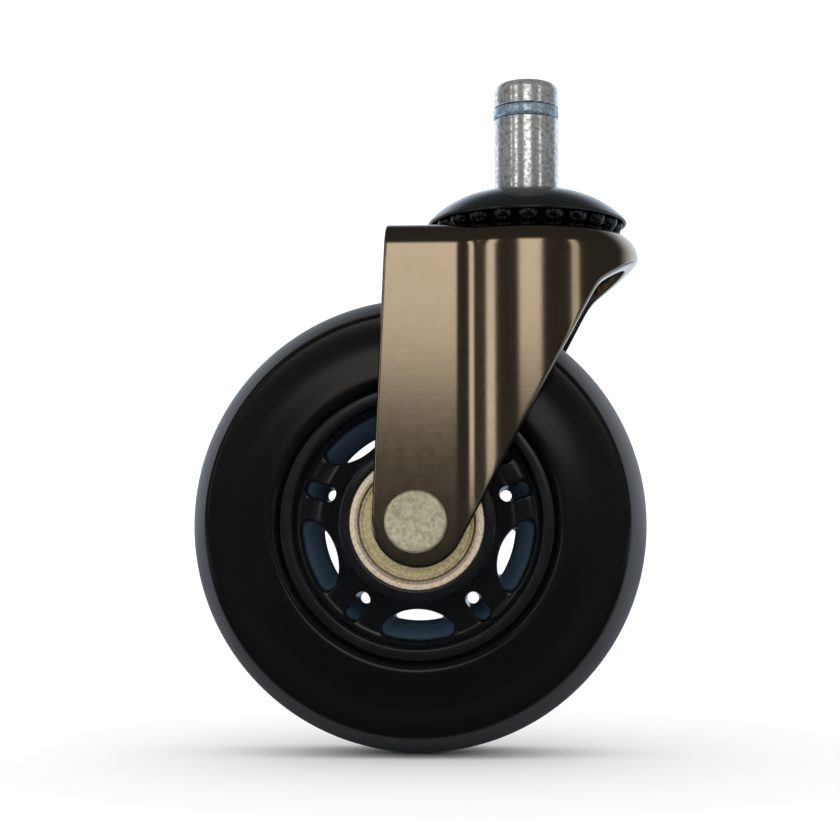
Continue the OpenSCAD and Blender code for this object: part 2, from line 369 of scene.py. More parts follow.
def tyre_material():
    """Glossy side walls and a satin tread; the tread's greyer base colour is painted sheen, for the light it
    catches at grazing angles.
    """
    mat = material("polyurethane", (0.0045, 0.0040, 0.0042), roughness=0.16, ior=1.4)
    # painted sheen: a greyer base colour on the tread, standing in for the light it reflects at grazing
    # angles
    tread = from_axle(mat, TREAD_EDGE_R + 0.1, TREAD_EDGE_R + 0.9)
    vary_colour(mat, tread, [(0.0, (0.0042, 0.0038, 0.0040)), (1.0, (0.042, 0.040, 0.042))])
    vary_roughness(mat, tread, 0.15, 0.42, 0.0, 1.0)
    add_bump(mat, add_noise(mat, 260, 3), 0.003)
    add_bump(mat, add_noise(mat, 2600, 3), 0.0012)
    return mat


def hub_material():
    """Gloss black moulding; the walls of its openings get a painted smoky blue, standing in for the blue
    light they reflect.
    """
    mat = material("hub_plastic", (0.006, 0.0065, 0.0075), roughness=0.17, ior=1.52)
    tree = mat.node_tree
    height = maths(tree, "ABSOLUTE", split_coordinates(tree, "Object")["Y"])
    # painted reflection: a blue base colour deep in the openings, standing in for the blue light their walls
    # reflect
    walls = mapped(tree, height, (WEB_H - 0.6) * MM, (WEB_H - 1.4) * MM, smooth=False)
    vary_colour(mat, walls, [(0.0, (0.006, 0.0066, 0.0078)), (1.0, (0.06, 0.098, 0.145))])
    vary_roughness(mat, add_noise(mat, 160, 4), 0.13, 0.22)
    add_bump(mat, add_noise(mat, 420, 3), 0.008)
    add_bump(mat, add_noise(mat, 5200, 2), 0.001)
    return mat


def fork_material():
    """Dark bronze plate with a satin gloss."""
    mat = material("bronze_plate", (0.42, 0.34, 0.25), metallic=1.0, roughness=0.18)
    vary_colour(mat, add_noise(mat, 60, 4), [(0.3, (0.412, 0.332, 0.242)), (0.7, (0.428, 0.347, 0.255))])
    vary_roughness(mat, add_noise(mat, 700, 5), 0.125, 0.145)
    add_bump(mat, add_noise(mat, 2400, 4), 0.0018)
    return mat


def cap_material():
    """Gloss black plate."""
    mat = material("black_plate", (0.008, 0.0075, 0.0075), metallic=0.0, roughness=0.16, ior=1.9)
    vary_roughness(mat, add_noise(mat, 300, 4), 0.12, 0.2)
    add_bump(mat, add_noise(mat, 900, 4), 0.002)
    return mat


def zinc_grain(name, light, dark, speck, metallic):
    """Zinc plate with fine mottled grains of two tones, and the grains' noise."""
    mat = material(name, light, metallic=metallic)
    grain = add_noise(mat, speck, 4, rough=0.62)
    vary_colour(mat, grain, [(0.36, dark), (0.6, light)])
    add_bump(mat, grain, 0.004)
    return mat, grain


def zinc_material(name, light, dark, speck=2200, roughness=(0.14, 0.34), metallic=1.0):
    """Bright zinc plate, glossier in its lighter grains."""
    mat, grain = zinc_grain(name, light, dark, speck, metallic)
    vary_roughness(mat, grain, roughness[1], roughness[0], 0.38, 0.62)
    return mat


def rivet_material():
    """Yellow zinc, dented on the faces and polished round the rim."""
    mat, _ = zinc_grain("yellow_zinc", (0.72, 0.67, 0.49), (0.44, 0.43, 0.28), 1300, 0.6)
    add_bump(mat, add_noise(mat, 420, 3), 0.035)
    vary_roughness(mat, from_axle(mat, RIVET_R - 0.4, RIVET_R - 0.25), 0.36, 0.14, 0.0, 1.0)
    return mat


def ground_steel(name, base, dark, roughness=(0.16, 0.3), metallic=1.0):
    """Turned or ground steel, with fine noise for its lines."""
    mat = material(name, base, metallic=metallic, roughness=roughness[0])
    grain = add_noise(mat, 1500, 3)
    vary_colour(mat, grain, [(0.3, dark), (0.65, base)])
    vary_roughness(mat, grain, roughness[0], roughness[1])
    add_bump(mat, grain, 0.0015)
    return mat


def floor_material():
    """Pale floor; the object's gloss sees it dark in front, with a pale pool at either side."""
    mat = material("studio_floor", (0.88, 0.88, 0.88), roughness=0.9)
    mat.node_tree.nodes["Principled BSDF"].inputs["Specular IOR Level"].default_value = 0
    mat.cycles.emission_sampling = "NONE"
    tree = mat.node_tree
    nodes, links = tree.nodes, tree.links
    place = split_coordinates(tree, "Object")
    behind = mapped(tree, place["Y"], -0.02, 0.08, 0.02, 0.6)
    beside = mapped(tree, maths(tree, "ABSOLUTE", place["X"]), 0.10, 0.28, 0.0, 0.5)
    pools = product(tree, beside, mapped(tree, place["Y"], -1.1, -0.7))
    seen = nodes.new("ShaderNodeEmission")
    seen.inputs["Color"].default_value = (0.62, 0.74, 0.9, 1)
    links.new(maths(tree, "MAXIMUM", behind, pools), seen.inputs["Strength"])
    mix = nodes.new("ShaderNodeMixShader")
    links.new(nodes.new("ShaderNodeLightPath").outputs["Is Glossy Ray"], mix.inputs["Fac"])
    links.new(nodes["Principled BSDF"].outputs["BSDF"], mix.inputs[1])
    links.new(seen.outputs["Emission"], mix.inputs[2])
    links.new(mix.outputs["Shader"], nodes["Material Output"].inputs["Surface"])
    return mat


TYRE_MAT = tyre_material()
HUB_MAT = hub_material()
FORK_MAT = fork_material()
CAP_MAT = cap_material()
STEM_MAT = zinc_material("bright_zinc", (0.95, 0.96, 0.98), (0.45, 0.47, 0.49), 1500, (0.12, 0.26), 0.8)
RING_MAT = zinc_material("blue_zinc", (0.62, 0.76, 0.88), (0.22, 0.34, 0.44), 1600, (0.2, 0.36), 0.75)
RIVET_MAT = rivet_material()
OUTER_RACE_MAT = ground_steel("outer_race_steel", (0.93, 0.78, 0.59), (0.82, 0.66, 0.48), (0.24, 0.36), 0.4)
INNER_RACE_MAT = ground_steel("inner_race_steel", (0.76, 0.75, 0.72), (0.5, 0.5, 0.48))
SHIELD_MAT = ground_steel("shield_zinc", (0.80, 0.70, 0.41), (0.64, 0.55, 0.30), (0.2, 0.34), 0.5)
BALL_MAT = ground_steel("ball_steel", (0.86, 0.86, 0.87), (0.74, 0.74, 0.75), (0.05, 0.1))
# the swivel balls get a near-black steel colour, much darker than the bearing's balls
SWIVEL_BALL_MAT = ground_steel("dark_swivel_ball", (0.09, 0.09, 0.095), (0.04, 0.04, 0.045), (0.2, 0.3))
CAGE_MAT = ground_steel("cage_metal", (0.70, 0.58, 0.32), (0.5, 0.4, 0.2))
RACE_MAT = ground_steel("race_steel", (0.20, 0.19, 0.18), (0.10, 0.095, 0.09), (0.25, 0.4))
WASHER_MAT = zinc_material("washer_zinc", (0.72, 0.73, 0.74), (0.4, 0.41, 0.42))


def paint(obj, mat):
    obj.data.materials.clear()
    obj.data.materials.append(mat)
    return obj


# ---------------------------------------------------------------- stem, ring, cap, rivet


def build_stem():
    outline = rounded([
        (0, STEM_TOP, 0), (STEM_R, STEM_TOP, 1.5), (STEM_R, GROOVE[1], 0.12),
        (GROOVE_R, GROOVE[1], 0.15), (GROOVE_R, GROOVE[0], 0.15), (STEM_R, GROOVE[0], 0.12),
        (STEM_R, 0, 0.2), (SHANK_R, 0, 0.1), (SHANK_R, RACE_Z, 0.1), (PEEN_R, RACE_Z, 0.3),
        (PEEN_R, PEEN_Z, 0.9), (0, PEEN_Z, 0)], 6)
    return paint(lathe("stem_pin", outline, "stem", ["stem"], about_stem, 160), STEM_MAT)


def build_grip_ring():
    """Split spring ring with a barrel section and rounded ends."""
    half_gap = math.radians(RING_HALF_GAP)
    inner, outer = GROOVE_R + 0.1, STEM_R + 0.19
    low, high = RING_LO[2], RING_HI[2]
    section = rounded([(inner, low, 0.15), (outer, low, 0.45), (outer, high, 0.45), (inner, high, 0.15)], 5)
    mid = ((inner + outer) / 2, (low + high) / 2)
    steps, end_steps, end_length = 120, 5, 0.3
    rings = []
    for s in range(-end_steps, steps + end_steps + 1):
        t = half_gap + (2 * math.pi - 2 * half_gap) * min(max(s, 0), steps) / steps
        over = (max(-s, 0) + max(s - steps, 0)) / end_steps
        size = math.sqrt(1 - 0.91 * over ** 2)
        t += (over * end_length / outer) * (-1 if s < 0 else 1)
        rings.append([about_stem(mid[0] + (r - mid[0]) * size, t, mid[1] + (h - mid[1]) * size)
                      for r, h in section])
    count = len(section)
    verts = [v for ring in rings for v in ring]
    faces = [(a + i, a + (i + 1) % count, a + count + (i + 1) % count, a + count + i)
             for a in range(0, len(verts) - count, count) for i in range(count)]
    faces += [tuple(range(count)), tuple(range(len(verts) - count, len(verts)))]
    obj = make_object("split_ring", verts, faces, "stem", ["grip_ring"])
    return paint(even_normals(obj), RING_MAT)


def build_cap():
    """Pressed dome: a flat seat, a large arc, a small arc into the rolled rim, and the ball track inside."""
    corner_r = CAP_R - CAP_SMALL_ARC
    corner_z = -CAP_BIG_ARC + math.sqrt((CAP_BIG_ARC - CAP_SMALL_ARC) ** 2 - (corner_r - CAP_FLAT_R) ** 2)
    meet = math.degrees(math.atan2(corner_z + CAP_BIG_ARC, corner_r - CAP_FLAT_R))
    stop = math.degrees(math.asin((RIM_Z + CAP_LIP - corner_z) / CAP_SMALL_ARC))
    dome = arc(CAP_FLAT_R, -CAP_BIG_ARC, CAP_BIG_ARC, 90, meet, 28)
    dome += arc(corner_r, corner_z, CAP_SMALL_ARC, meet, stop, 12)[1:]
    lip = arc(dome[-1][0] - CAP_LIP, RIM_Z + CAP_LIP, CAP_LIP, 0, -100, 8)[1:]
    ball_z = PLATE_Z - BALL_SUNK + BALL_R
    track = arc(TRACK_R, ball_z, BALL_R + 0.05, 8, 118, 14)
    inner = CAP_BIG_ARC - CAP_SHEET
    crossing = math.degrees(math.acos((TRACK_R - 1.1 - CAP_FLAT_R) / inner))
    inside = arc(CAP_FLAT_R, -CAP_BIG_ARC, inner, crossing, 90, 18)
    bore = [(SHANK_R + 0.02, -CAP_SHEET), (SHANK_R + 0.02, 0)]
    outline = dome + lip + track + inside + bore
    return paint(lathe("cap_dome", outline, "stem", ["swivel_cap"], about_stem, 224), CAP_MAT)


def build_rivet():
    """Round rivet: heads with a shallow forming dish and a sloping rim, on a shank through both legs."""
    face = RIVET_HI[1] - AXLE[1]
    flat_r = RIVET_R * 0.82
    dish = [(0, face - 0.10), (RIVET_R * 0.55, face - 0.08), (flat_r, face - 0.02)]
    rim = rounded([(flat_r, face - 0.02, 0), (RIVET_R - 0.3, face, 0.15), (RIVET_R - 0.03, face - 0.6, 0.1),
                   (RIVET_R, LEG_Y, 0.05), (SHANK_R - 0.02, LEG_Y, 0)], 6)[1:]
    outline = mirror_outline(list(reversed(dish + rim)))
    return paint(lathe("rivet", outline, "fork", ["axle_rivet"], about_axle, 128), RIVET_MAT)


# ---------------------------------------------------------------- bearings


def at_bearing(side, outline):
    """Moves a bearing's outline, drawn with its outer face up, to its side of the wheel."""
    mid = HALF_W - BEARING_W / 2
    return [(r, side * (mid + h)) for r, h in outline]


def build_bearing(name, side):
    """A bearing's outer ring and two covers; the CAD's own balls, cage and inner ring stay between them."""
    h = BEARING_W / 2
    ring = rounded([(9.1, 3.45, 0.1), (9.4, 3.45, 0), (9.4, 3.08, 0), (9.1, 3.08, 0), (9.1, 1.9, 0.1),
                    (9.45, 1.2, 0), (9.5, 0, 0), (9.45, -1.2, 0), (9.1, -1.9, 0.1), (9.1, -3.08, 0),
                    (9.4, -3.08, 0), (9.4, -3.45, 0), (9.1, -h, 0.1), (BEARING_R, -h, 0.35),
                    (BEARING_R, h, 0.35), (9.35, h, 0.12)], 4)
    cover = rounded([(6.4, 2.85, 0.05), (6.8, 2.85, 0.1), (7.1, 3.08, 0.1), (8.35, 3.08, 0.1),
                     (8.6, 2.86, 0.1), (8.95, 2.86, 0.1), (9.1, 3.1, 0.05), (9.38, 3.1, 0.02),
                     (9.38, 3.38, 0.06), (9.05, 3.42, 0.12), (8.85, 3.1, 0.1), (8.65, 3.1, 0.1),
                     (8.4, 3.33, 0.12), (7.0, 3.33, 0.12), (6.7, 3.1, 0.1), (6.4, 3.1, 0.08)], 4)
    race = lathe(f"{name}_race", at_bearing(side, ring), "wheel", [f"{name}_outer_ring"],
                 about_axle)
    paint(race, OUTER_RACE_MAT)
    for face, where in ((1, "outer"), (-1, "inner")):
        outline = at_bearing(side, [(r, face * y) for r, y in cover])
        obj = lathe(f"{name}_{where}_cover", outline, "wheel", [f"{name}_{where}_shield"],
                    about_axle)
        paint(obj, SHIELD_MAT)


# ---------------------------------------------------------------- tyre


def build_tyre():
    """Crowned tread with a fine mould line, rounded edges and a slightly hollow side wall."""
    rise = WHEEL_R - TREAD_EDGE_R
    crown = (HALF_W ** 2 + rise ** 2) / (2 * rise)
    centre = WHEEL_R - crown
    edge_h = HALF_W - TREAD_ROUND
    edge_c = centre + math.sqrt((crown - TREAD_ROUND) ** 2 - edge_h ** 2)
    edge_a = math.degrees(math.atan2(edge_h, edge_c - centre))
    bead = arc(BEAD_R, HALF_W - BEAD_ROUND, BEAD_ROUND, 180, 90, 8)
    wall = []
    for k in range(1, 16):
        hollow = WALL_HOLLOW * math.sin(math.pi * k / 16) ** 2
        wall.append((BEAD_R + (edge_c - BEAD_R) * k / 16, HALF_W - hollow))
    half = [(RIB[0], 0), RIB, (RIM_R, RIB_FOOT_H), (RIM_R, 10.0), (RIM_R, bead[0][1])]
    half += [(max(r, RIM_R), h) for r, h in bead] + wall
    half += arc(edge_c, edge_h, TREAD_ROUND, 90, edge_a, 6)
    half += arc(centre, 0, crown, edge_a, 0.55, 30)[1:]
    half += [(WHEEL_R - 0.03, 0.16), (WHEEL_R, 0.07), (WHEEL_R, 0)]
    outline = mirror_outline(half)
    return paint(lathe("tread", outline, "wheel", ["tyre"], about_axle, 320), TYRE_MAT)


# ---------------------------------------------------------------- hub


def hub_height(r):
    """Height of the hub's face over its middle plane, between the housing and the rim."""
    if r < CONE_R[0]:
        return HALF_W + 0.6 - math.sqrt(DISH_R ** 2 - (DISH_C - r) ** 2)
    if r > FILLET_C:
        return WEB_H + FILLET_R - math.sqrt(FILLET_R ** 2 - (r - FILLET_C) ** 2)
    return CONE_H + (WEB_H - CONE_H) * min(1.0, (r - CONE_R[0]) / (CONE_R[1] - CONE_R[0]))


def lens_loop(out_r, corner, grow, turn):
    """Window outline: an arc round the axle, a bowed inner edge, and two rounded corners."""
    far_c = WINDOW_R[0] + WINDOW_BULGE
    a, b = out_r - corner, WINDOW_BULGE - corner
    x = (far_c ** 2 + a ** 2 - b ** 2) / (2 * far_c)
    y = math.sqrt(a ** 2 - x ** 2)
    out_turn = math.degrees(math.atan2(y, x))
    in_turn = math.degrees(math.atan2(y, x - far_c))
    half = arc(0, 0, out_r + grow, 0, out_turn, 14)
    half += arc(x, y, corner + grow, out_turn, in_turn, 9)[1:]
    half += arc(far_c, 0, WINDOW_BULGE + grow, in_turn, 180, 16)[1:]
    return [spin(p, turn) for p in half + [(x, -y) for x, y in reversed(half[1:-1])]]


def slot_ends(radii, half_w, grow, turn):
    """Slot outline: two half circles joined by straight sides."""
    side_steps = 6
    r0, r1 = radii[0] + half_w, radii[1] - half_w
    w = half_w + grow
    out = arc(r1, 0, w, -90, 90, 12)
    out += [(r1 + (r0 - r1) * k / side_steps, w) for k in range(1, side_steps)]
    out += arc(r0, 0, w, 90, 270, 12)
    out += [(r0 + (r1 - r0) * k / side_steps, -w) for k in range(1, side_steps)]
    return [spin(p, turn) for p in out]


def window_loop(grow, turn, waist=False):
    """Outline of a window at the hub's face, or at its narrow waist on the middle plane."""
    if waist:
        return lens_loop(WAIST_R, WAIST_CORNER, grow, turn)
    return lens_loop(WINDOW_R[1], WINDOW_CORNER, grow, turn)


def slot_loop(grow, turn, waist=False):
    """Outline of a slot at the hub's face, or at its waist."""
    if waist:
        return slot_ends(WAIST_SLOT_R, WAIST_SLOT_HALF_W, grow, turn)
    return slot_ends(SLOT_R, SLOT_HALF_W, grow, turn)


def spin(p, turn):
    """A point turned about the axle."""
    c, s = math.cos(turn), math.sin(turn)
    return (p[0] * c - p[1] * s, p[0] * s + p[1] * c)


def hub_holes():
    """(loop function, place round the hub) for every window and slot."""
    step = 2 * math.pi / WINDOWS
    for i in range(WINDOWS):
        turn = -math.pi / 2 + i * step
        yield window_loop, turn
        yield slot_loop, turn + step / 2


def in_loop(p, loop):
    """True if a point lies in a closed loop."""
    inside = False
    x, y = p
    for (x0, y0), (x1, y1) in zip(loop, loop[1:] + loop[:1]):
        if (y0 > y) != (y1 > y) and x < (x1 - x0) * (y - y0) / (y1 - y0) + x0:
            inside = not inside
    return inside


HUB_SEGMENTS, HUB_RINGS = 300, 15
POINT_GAP = 0.18


def face_sheet():
    """Triangles of the hub's face, with the holes' grown outlines left open."""
    r_in, r_out = FACE_R
    points, edges = [], []

    def add_loop(loop):
        start = len(points)
        points.extend(loop)
        edges.extend((start + k, start + (k + 1) % len(loop)) for k in range(len(loop)))
        return range(start, start + len(loop))

    circle = [2 * math.pi * k / HUB_SEGMENTS for k in range(HUB_SEGMENTS)]
    inner = add_loop([(r_in * math.cos(t), r_in * math.sin(t)) for t in circle])
    outer = add_loop([(r_out * math.cos(t), r_out * math.sin(t)) for t in circle])
    loops = [add_loop(make(HOLE_EDGE, turn)) for make, turn in hub_holes()]
    keep_out = [make(HOLE_EDGE + POINT_GAP, turn) for make, turn in hub_holes()]
    for k in range(1, HUB_RINGS):
        r = r_in + (r_out - r_in) * k / HUB_RINGS
        shift = 0.5 * (k % 2)
        for s in range(HUB_SEGMENTS):
            t = 2 * math.pi * (s + shift) / HUB_SEGMENTS
            p = (r * math.cos(t), r * math.sin(t))
            if not any(in_loop(p, loop) for loop in keep_out):
                points.append(p)
    verts, _, faces, _, _, _ = delaunay_2d_cdt([Vector(p) for p in points], edges, [], 0, 1e-6)
    open_loops = [make(HOLE_EDGE - 0.01, turn) for make, turn in hub_holes()]
    kept = []
    for f in faces:
        c = sum((verts[i] for i in f), Vector((0, 0))) / 3
        in_housing = c.length < r_in * math.cos(math.pi / HUB_SEGMENTS)
        if not in_housing and not any(in_loop(c, loop) for loop in open_loops):
            kept.append(tuple(f))
    return [tuple(v) for v in verts], kept, inner, outer, loops


def build_hub():
    """Moulded hub: dished web, windows and slots with rounded edges, rim, rib and bearing seats."""
    flat, tris, inner, outer, loops = face_sheet()
    count = len(flat)
    verts = [axle_point(x, y, side * hub_height(math.hypot(x, y))) for side in (1, -1) for x, y in flat]
    faces = tris + [tuple(count + i for i in f) for f in tris]

    def strip(low, high):
        n = len(low)
        faces.extend((low[k], low[(k + 1) % n], high[(k + 1) % n], high[k]) for k in range(n))

    def add(points):
        start = len(verts)
        verts.extend(points)
        return list(range(start, start + len(points)))

    # from the rounded edge to the waist: how far along, and at what share of the face's height
    slope = ((0.35, 0.64), (0.70, 0.33), (0.745, 0.315), (0.88, 0.18), (1.0, 0.08))
    edge_steps = 4
    for (make, turn), loop in zip(hub_holes(), loops):
        top = [hub_height(math.hypot(*p)) for p in make(HOLE_EDGE, turn)]
        mouth, waist = make(0, turn), make(0, turn, True)
        halves = []
        for side in (1, -1):
            rows = []
            for k in range(1, edge_steps + 1):
                a = math.pi / 2 * k / edge_steps
                ring = make(HOLE_EDGE * (1 - math.sin(a)), turn)
                drop = HOLE_EDGE * (1 - math.cos(a))
                rows.append([axle_point(x, y, side * (h - drop)) for (x, y), h in zip(ring, top)])
            for t, share in slope:
                rows.append([axle_point(m[0] + (w[0] - m[0]) * t, m[1] + (w[1] - m[1]) * t, side * h * share)
                             for m, w, h in zip(mouth, waist, top)])
            halves.append(rows)
        ridge = [axle_point(x, y, 0) for x, y in make(-0.05, turn, True)]
        rows = [list(loop)] + [add(row) for row in halves[0] + [ridge] + halves[1][::-1]]
        rows.append([count + i for i in loop])
        for low, high in zip(rows, rows[1:]):
            strip(low, high)

    def turned(profile, first, last):
        """Rows of a turned profile, joined to the face's circles at both ends."""
        rows = [list(first)]
        for r, h in profile:
            rows.append(add([about_axle(r, 2 * math.pi * s / HUB_SEGMENTS, h) for s in range(HUB_SEGMENTS)]))
        rows.append(list(last))
        for low, high in zip(rows, rows[1:]):
            strip(low, high)

    dish = [(r, hub_height(r)) for r in (13.3, 13.15)]
    housing = dish + arc(12.35, HALF_W - 0.7, 0.7, 8, 90, 6) + [(11.45, HALF_W)]
    housing += arc(BEARING_R + 0.25, HALF_W - 0.25, 0.25, 90, 180, 3)
    seat = [(BEARING_R, SEAT_H + 0.2), (BEARING_R, SEAT_H), (9.7, SEAT_H), (9.6, SEAT_H - 0.1)]
    core = housing + seat
    turned(mirror_outline(core), inner, [count + i for i in inner])
    base = arc(FILLET_C, WEB_H + FILLET_R, FILLET_R, -40, -6, 5)
    rim = base + [(20.42, 9.4), (20.52, 11.0)] + arc(20.86, 11.16, 0.34, 176, 90, 6) + [(21.6, 11.5)]
    rim += arc(22.15, 11.25, 0.25, 90, 0, 3) + [(RIM_R, RIB_FOOT_H), RIB]
    turned(mirror_outline(rim), outer, [count + i for i in outer])
    obj = make_object("hub_moulding", verts, faces, "wheel", ["hub"])
    return paint(even_normals(obj), HUB_MAT)


def axle_point(x, y, h):
    """Point at x and y across the axle and h along it, towards the near side."""
    return (AXLE[0] + x, AXLE[1] - h, AXLE[2] + y)


# ---------------------------------------------------------------- fork


NECK_Y = LEG_Y + NECK_R
NECK_X = -math.sqrt((HEAD_R + NECK_R) ** 2 - NECK_Y ** 2)
NECK_TURN = math.atan2(-NECK_X, NECK_Y)


def tangent_angle(centre, radius, point, side):
    """Angle at which a line from point touches the circle."""
    dx, dz = point[0] - centre[0], point[1] - centre[1]
    return math.atan2(dz, dx) + side * math.acos(radius / math.hypot(dx, dz))


SLOPE_A = tangent_angle(LEG_END, LEG_END_R, BROW, -1)
BACK_A = tangent_angle(LEG_END, LEG_END_R, (BACK_TOP, PLATE_Z), 1) % (2 * math.pi)
SLOPE_M = -1 / math.tan(SLOPE_A)
LIP_M = (LIP_FRONT - BROW[1]) / (HEAD_R - BROW[0])


def back_x(z, inset):
    """The leg's rear edge at a height."""
    foot = (LEG_END[0] + LEG_END_R * math.cos(BACK_A), LEG_END[1] + LEG_END_R * math.sin(BACK_A))
    share = (z - PLATE_Z) / (foot[1] - PLATE_Z)
    return BACK_TOP + (foot[0] - BACK_TOP) * share - inset / math.cos(BACK_A)


def lower_edge(x, inset):
    """Height of the sheet's lower edge: the arc round the axle, the slope and the front lip, blended."""
    r = LEG_END_R - inset
    if x < LEG_END[0] + r * math.cos(SLOPE_A):
        return LEG_END[1] - math.sqrt(r ** 2 - (x - LEG_END[0]) ** 2)
    slope = BROW[1] + SLOPE_M * (x - BROW[0]) + inset * math.hypot(1, SLOPE_M)
    lip = BROW[1] + LIP_M * (x - BROW[0]) + inset * math.hypot(1, LIP_M)
    soft = 0.45
    low = min(slope, lip)
    return low - soft * math.log(math.exp((low - slope) / soft) + math.exp((low - lip) / soft))


def leg_foot(share, inset):
    """Point of the arc round the axle that ends the leg, from its rear edge to the neck."""
    r = LEG_END_R - inset
    stop = 2 * math.pi - math.acos((NECK_X - LEG_END[0]) / r)
    a = BACK_A + share * (stop - BACK_A)
    return (LEG_END[0] + r * math.cos(a), LEG_END[1] + r * math.sin(a))


LEG_COLS, NECK_COLS, HEAD_COLS = 40, 14, 56
BEND_ROWS, WALL_ROWS, PLATE_ROWS, BACK_COLS = 12, 26, 10, 26


def half_columns():
    """Near half of the fork's outline: each column is a leg share, or a neck or head angle."""
    cols = [("leg", i / LEG_COLS) for i in range(LEG_COLS)]
    cols += [("neck", i / NECK_COLS) for i in range(NECK_COLS)]
    cols += [("head", i / HEAD_COLS) for i in range(HEAD_COLS + 1)]
    return cols


def centre_line(col, inset):
    """Where a column's bend starts on the plate, and the outward direction there."""
    kind, share = col
    if kind == "leg":
        x = back_x(PLATE_Z, inset)
        return (x + (NECK_X - x) * share, -(LEG_Y - SHOULDER)), (0.0, -1.0)
    if kind == "neck":
        a = math.pi / 2 - NECK_TURN * share
        d = (math.cos(a), math.sin(a))
        r = NECK_R + SHOULDER
        return (NECK_X + r * d[0], -NECK_Y + r * d[1]), (-d[0], -d[1])
    a = -math.pi / 2 - NECK_TURN + (math.pi / 2 + NECK_TURN) * share
    d = (math.cos(a), math.sin(a))
    return ((HEAD_R - SHOULDER) * d[0], (HEAD_R - SHOULDER) * d[1]), d


def column_points(col, inset, depth):
    """Points down one column: round the bend, then down the wall to the sheet's edge."""
    (cx, cy), (nx, ny) = centre_line(col, inset)
    r = SHOULDER - depth
    bend = r * math.pi / 2
    in_leg = col[0] == "leg"
    foot = leg_foot(col[1], inset) if in_leg else None

    def leg_x(z):
        edge = back_x(z, inset)
        return edge + (NECK_X - edge) * col[1]

    def at(w):
        if w < bend:
            z = BEND_Z + r * math.cos(w / r)
            out = r * math.sin(w / r)
            return ((leg_x(z) if in_leg else cx) + nx * out, cy + ny * out, z)
        if in_leg:
            top = leg_x(BEND_Z)
            share = (w - bend) / (BEND_Z - foot[1])
            return (top + (foot[0] - top) * share, cy + ny * r, BEND_Z + (foot[1] - BEND_Z) * share)
        return (cx + nx * r, cy + ny * r, BEND_Z - (w - bend))

    if in_leg:
        end = bend + BEND_Z - foot[1]
    else:
        end, beyond = 0.0, bend + 60
        for _ in range(40):
            mid = (end + beyond) / 2
            x, _, z = at(mid)
            end, beyond = (mid, beyond) if z > lower_edge(x, inset) else (end, mid)
    split = min(bend, 0.82 * end)
    ws = [split * k / BEND_ROWS for k in range(BEND_ROWS + 1)]
    ws += [split + (end - split) * k / WALL_ROWS for k in range(1, WALL_ROWS + 1)]
    return [at(w) for w in ws]


def fork_skin(inset, depth):
    """One skin of the sheet: plate rows towards the hole, then the columns round the bends."""
    near = [column_points(c, inset, depth) for c in half_columns()]
    far = [[(x, -y, z) for x, y, z in col] for col in reversed(near[:-1])]
    walls = near + far
    z = PLATE_Z - depth
    rear = back_x(PLATE_Z, inset)
    side = LEG_Y - SHOULDER
    back = [(rear, side - 2 * side * k / BACK_COLS, z) for k in range(1, BACK_COLS)]
    outline = [col[0] for col in walls] + back
    plate = []
    for m in range(1, PLATE_ROWS + 1):
        share = m / PLATE_ROWS
        for x, y, _ in outline:
            d = math.hypot(x, y)
            r = d + (PLATE_HOLE - d) * share
            plate.append((x / d * r, y / d * r, z))
    return outline, plate, walls


def fork_grid():
    """Faces and boundary of a skin, as places in its flat list of points."""
    cols = 2 * (LEG_COLS + NECK_COLS + HEAD_COLS) + 1
    ring = cols + BACK_COLS - 1
    rows = BEND_ROWS + WALL_ROWS
    first = ring * (PLATE_ROWS + 1)

    def plate_at(m, c):
        return ring * m + c % ring

    def wall_at(c, k):
        return c if k == 0 else first + c * rows + k - 1

    faces = [(plate_at(m, c), plate_at(m, c + 1), plate_at(m + 1, c + 1), plate_at(m + 1, c))
             for m in range(PLATE_ROWS) for c in range(ring)]
    faces += [(wall_at(c, k), wall_at(c, k + 1), wall_at(c + 1, k + 1), wall_at(c + 1, k))
              for c in range(cols - 1) for k in range(rows)]
    edge = list(range(cols, ring)) + [wall_at(0, k) for k in range(rows + 1)]
    edge += [wall_at(c, rows) for c in range(1, cols)]
    edge += [wall_at(cols - 1, k) for k in range(rows - 1, -1, -1)]
    hole = [plate_at(PLATE_ROWS, c) for c in range(ring)]
    return faces, edge, hole


def skin_points(inset, depth):
    """A skin's flat list of points, in the order of fork_grid's places."""
    outline, plate, walls = fork_skin(inset, depth)
    return outline + plate + [p for col in walls for p in col[1:]]


def build_fork():
    """Pressed sheet: an outer and an inner skin, joined round every cut edge by a rounded band."""
    faces, edge, hole = fork_grid()
    outer = skin_points(SHEET_EDGE, 0.0)
    inner = skin_points(SHEET_EDGE, SHEET)
    verts = outer + inner
    count = len(outer)
    all_faces = faces + [tuple(count + i for i in reversed(f)) for f in faces]
    steps = 5
    turns = [math.pi / 2 * k / steps for k in range(1, steps + 1)]
    bands = [(SHEET_EDGE * (1 - math.sin(a)), SHEET_EDGE * (1 - math.cos(a))) for a in turns]
    bands += [(0.0, SHEET / 2)] + [(i, SHEET - d) for i, d in reversed(bands)]
    rows = [edge]
    for inset, depth in bands:
        points = skin_points(inset, depth)
        start = len(verts)
        verts += [points[i] for i in edge]
        rows.append(list(range(start, start + len(edge))))
    rows.append([count + i for i in edge])
    for low, high in zip(rows, rows[1:]):
        n = len(edge)
        all_faces += [(low[k], low[(k + 1) % n], high[(k + 1) % n], high[k]) for k in range(n)]
    n = len(hole)
    all_faces += [(hole[k], hole[(k + 1) % n], count + hole[(k + 1) % n], count + hole[k]) for k in range(n)]
    obj = make_object("fork_pressing", verts, all_faces, "fork", ["fork"])
    drill_axle_hole(obj)
    return paint(even_normals(obj), FORK_MAT)


